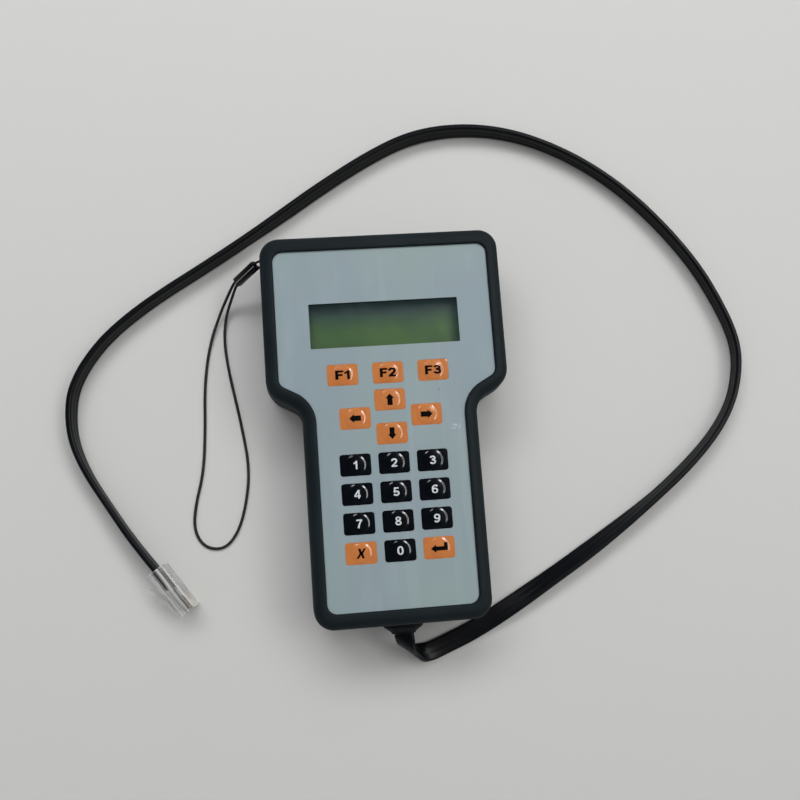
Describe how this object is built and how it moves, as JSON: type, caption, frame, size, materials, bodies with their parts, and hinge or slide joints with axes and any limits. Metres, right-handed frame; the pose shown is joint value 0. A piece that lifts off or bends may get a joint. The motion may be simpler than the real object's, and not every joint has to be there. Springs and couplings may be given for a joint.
{
  "type": "handheld operator terminal",
  "caption": "Handheld operator terminal: T-shaped black case, recessed membrane keypad, text display, flat lead with a modular plug, wrist strap.",
  "frame": {"origin": "centre of the case's back face, on the surface that the terminal lies on", "axes": "+X right, +Y along the case towards the display, +Z out of the keypad"},
  "size_m": [0.2957, 0.2331, 0.03],
  "materials": {
    "case_plastic": "fine moulded grain, matte black",
    "panel_foil": "satin blue-grey printed foil",
    "key_orange": "glossy embossed foil, orange print",
    "key_black": "glossy embossed foil, black print",
    "clear_film": "translucent polyester film",
    "clear_pane": "clear acrylic pane",
    "black_metal": "black lacquered sheet",
    "lcd_green": "green reflective display glass",
    "white_plastic": "white moulded plastic",
    "board_green": "green solder mask",
    "screw_steel": "zinc-plated steel",
    "black_plastic": "black moulded plastic",
    "can_metal": "plain metal can",
    "lead_jacket": "smooth black cable jacket",
    "grommet_rubber": "black rubber",
    "plug_clear": "clear moulded plastic",
    "contact_gold": "gold-plated contacts",
    "wire_plastic": "insulated wires",
    "strap_cord": "braided black cord"
  },
  "bodies": {
    "case": {"front_shell": "case_plastic", "rear_shell": "case_plastic", "case_screws": "screw_steel", "keypad_overlay": "panel_foil", "keypad_spacer": "clear_film", "keypad_circuit": "clear_film", "display_window": "clear_pane", "lcd_bezel": "black_metal", "lcd_glass": "lcd_green", "lcd_backlight": "white_plastic", "lcd_board": "board_green", "lcd_screws": "screw_steel", "lcd_header": "black_plastic", "main_board": "board_green", "board_screws": "screw_steel", "controller_chip": "black_plastic", "line_driver": "black_plastic", "regulator": "black_plastic", "capacitor": "can_metal", "crystal": "can_metal", "contrast_trimmer": "white_plastic", "keypad_connector": "white_plastic", "lead_header": "white_plastic", "lead_plug": "white_plastic", "lead_inside": "lead_jacket", "cable_grommet": "grommet_rubber", "flat_cable": "lead_jacket", "plug_body": "plug_clear", "plug_contacts": "contact_gold", "plug_wires": "wire_plastic", "plug_lead": "lead_jacket", "strap_ferrule": "black_plastic", "strap_tie": "strap_cord", "strap_loop": "strap_cord"},
    "key_f1": {"key_f1": "key_orange"},
    "key_f2": {"key_f2": "key_orange"},
    "key_f3": {"key_f3": "key_orange"},
    "key_up": {"key_up": "key_orange"},
    "key_left": {"key_left": "key_orange"},
    "key_right": {"key_right": "key_orange"},
    "key_down": {"key_down": "key_orange"},
    "key_1": {"key_1": "key_black"},
    "key_2": {"key_2": "key_black"},
    "key_3": {"key_3": "key_black"},
    "key_4": {"key_4": "key_black"},
    "key_5": {"key_5": "key_black"},
    "key_6": {"key_6": "key_black"},
    "key_7": {"key_7": "key_black"},
    "key_8": {"key_8": "key_black"},
    "key_9": {"key_9": "key_black"},
    "key_cancel": {"key_cancel": "key_orange"},
    "key_0": {"key_0": "key_black"},
    "key_enter": {"key_enter": "key_orange"},
    "plug_latch": {"plug_latch": "plug_clear"}
  },
  "joints": [
    {"name": "key_f1_press", "type": "slide", "parent": "case", "child": "key_f1", "axis": [0, 0, -1], "range_m": [0, 0.0005], "stiffness_N_per_m": 4000},
    {"name": "key_f2_press", "type": "slide", "parent": "case", "child": "key_f2", "axis": [0, 0, -1], "range_m": [0, 0.0005], "stiffness_N_per_m": 4000},
    {"name": "key_f3_press", "type": "slide", "parent": "case", "child": "key_f3", "axis": [0, 0, -1], "range_m": [0, 0.0005], "stiffness_N_per_m": 4000},
    {"name": "key_up_press", "type": "slide", "parent": "case", "child": "key_up", "axis": [0, 0, -1], "range_m": [0, 0.0005], "stiffness_N_per_m": 4000},
    {"name": "key_left_press", "type": "slide", "parent": "case", "child": "key_left", "axis": [0, 0, -1], "range_m": [0, 0.0005], "stiffness_N_per_m": 4000},
    {"name": "key_right_press", "type": "slide", "parent": "case", "child": "key_right", "axis": [0, 0, -1], "range_m": [0, 0.0005], "stiffness_N_per_m": 4000},
    {"name": "key_down_press", "type": "slide", "parent": "case", "child": "key_down", "axis": [0, 0, -1], "range_m": [0, 0.0005], "stiffness_N_per_m": 4000},
    {"name": "key_1_press", "type": "slide", "parent": "case", "child": "key_1", "axis": [0, 0, -1], "range_m": [0, 0.0005], "stiffness_N_per_m": 4000},
    {"name": "key_2_press", "type": "slide", "parent": "case", "child": "key_2", "axis": [0, 0, -1], "range_m": [0, 0.0005], "stiffness_N_per_m": 4000},
    {"name": "key_3_press", "type": "slide", "parent": "case", "child": "key_3", "axis": [0, 0, -1], "range_m": [0, 0.0005], "stiffness_N_per_m": 4000},
    {"name": "key_4_press", "type": "slide", "parent": "case", "child": "key_4", "axis": [0, 0, -1], "range_m": [0, 0.0005], "stiffness_N_per_m": 4000},
    {"name": "key_5_press", "type": "slide", "parent": "case", "child": "key_5", "axis": [0, 0, -1], "range_m": [0, 0.0005], "stiffness_N_per_m": 4000},
    {"name": "key_6_press", "type": "slide", "parent": "case", "child": "key_6", "axis": [0, 0, -1], "range_m": [0, 0.0005], "stiffness_N_per_m": 4000},
    {"name": "key_7_press", "type": "slide", "parent": "case", "child": "key_7", "axis": [0, 0, -1], "range_m": [0, 0.0005], "stiffness_N_per_m": 4000},
    {"name": "key_8_press", "type": "slide", "parent": "case", "child": "key_8", "axis": [0, 0, -1], "range_m": [0, 0.0005], "stiffness_N_per_m": 4000},
    {"name": "key_9_press", "type": "slide", "parent": "case", "child": "key_9", "axis": [0, 0, -1], "range_m": [0, 0.0005], "stiffness_N_per_m": 4000},
    {"name": "key_cancel_press", "type": "slide", "parent": "case", "child": "key_cancel", "axis": [0, 0, -1], "range_m": [0, 0.0005], "stiffness_N_per_m": 4000},
    {"name": "key_0_press", "type": "slide", "parent": "case", "child": "key_0", "axis": [0, 0, -1], "range_m": [0, 0.0005], "stiffness_N_per_m": 4000},
    {"name": "key_enter_press", "type": "slide", "parent": "case", "child": "key_enter", "axis": [0, 0, -1], "range_m": [0, 0.0005], "stiffness_N_per_m": 4000},
    {"name": "latch_flex", "type": "hinge", "parent": "case", "child": "plug_latch", "pos_m": [-0.09023, -0.07075, 0.00585], "axis": [0, 0, 1], "range_deg": [-8, 0], "stiffness_Nm_per_rad": 0.5}
  ]
}
